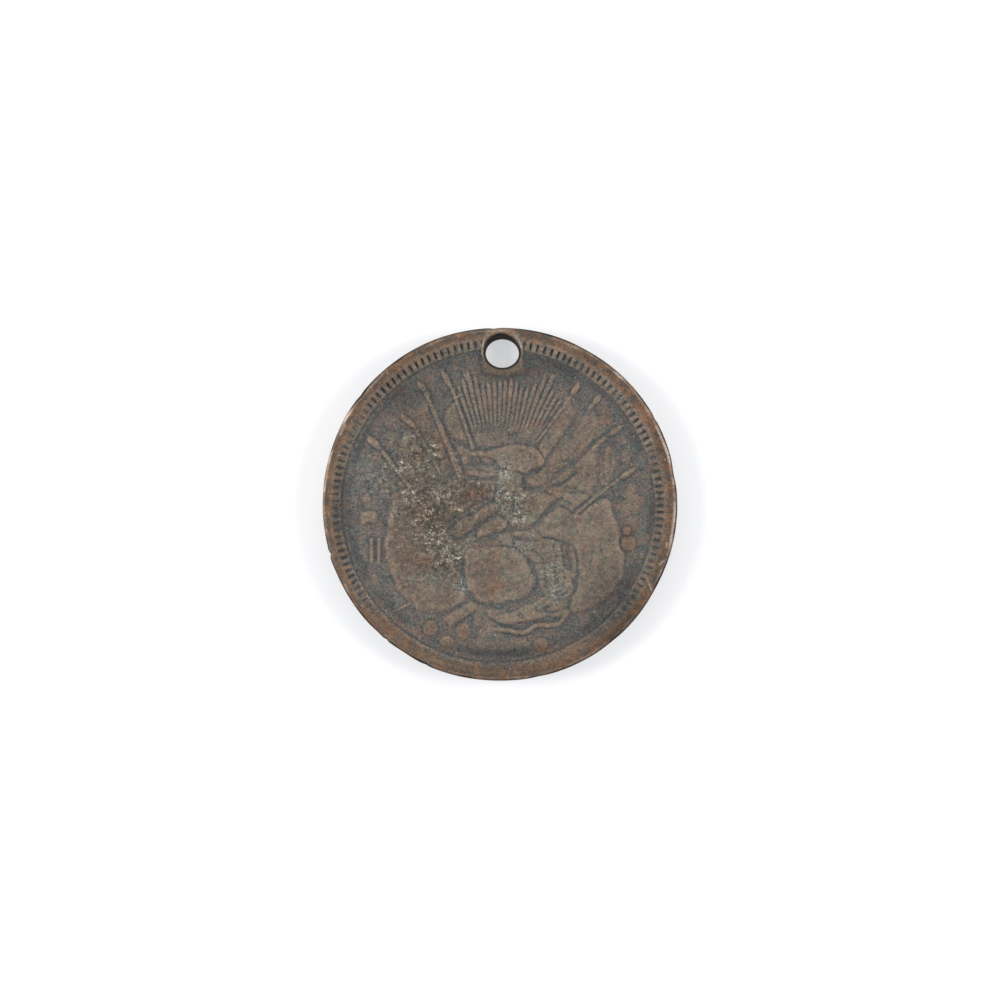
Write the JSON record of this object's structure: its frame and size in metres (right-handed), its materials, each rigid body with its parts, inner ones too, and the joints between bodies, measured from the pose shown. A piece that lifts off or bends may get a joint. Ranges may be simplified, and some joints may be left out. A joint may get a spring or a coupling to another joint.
{
  "type": "pierced token",
  "caption": "Round struck copper token with a raised rim, toothed border, relief on both faces and a hole near the edge to hang it by.",
  "frame": {"origin": "centre of the disc, on the plane of the back rim that it rests on", "axes": "+Z is the front face's outward normal, +Y runs from the centre towards the hole, +X is to the right as the front is looked at with the hole at the top"},
  "size_m": [0.0285, 0.0284, 0.0019],
  "materials": {
    "worn_copper": "raised copper worn by handling, brown, half dull, with brighter high edges",
    "patinated_copper": "copper gone dark blue-grey and brown in the recesses, dull, with pale green verdigris specks"
  },
  "bodies": {
    "root": {"ammunition_box": "worn_copper", "back_bow": "worn_copper", "back_hole_burr": "patinated_copper", "back_rim": "worn_copper", "back_teeth": "patinated_copper", "blank": "patinated_copper", "cannon_barrel": "worn_copper", "cannonballs": "worn_copper", "clouds": "patinated_copper", "drumsticks": "worn_copper", "eagle_body": "worn_copper", "eagle_feathers": "worn_copper", "eagle_head": "worn_copper", "eagle_legs": "worn_copper", "eagle_wing": "worn_copper", "front_hole_collar": "patinated_copper", "front_rim": "worn_copper", "front_teeth": "patinated_copper", "ground": "patinated_copper", "left_drape": "worn_copper", "left_flags": "worn_copper", "left_lances": "worn_copper", "left_trophy": "worn_copper", "ribbon": "worn_copper", "right_drape": "worn_copper", "right_flags": "worn_copper", "right_lances": "worn_copper", "rolled_flag": "worn_copper", "round_shield": "worn_copper", "sash": "worn_copper", "scroll": "worn_copper", "shield_boss": "worn_copper", "shield_ring": "worn_copper", "sun_disc": "worn_copper", "sun_rays": "patinated_copper", "wreath_berries": "worn_copper", "wreath_leaves": "worn_copper", "wreath_stems": "worn_copper"}
  },
  "joints": []
}
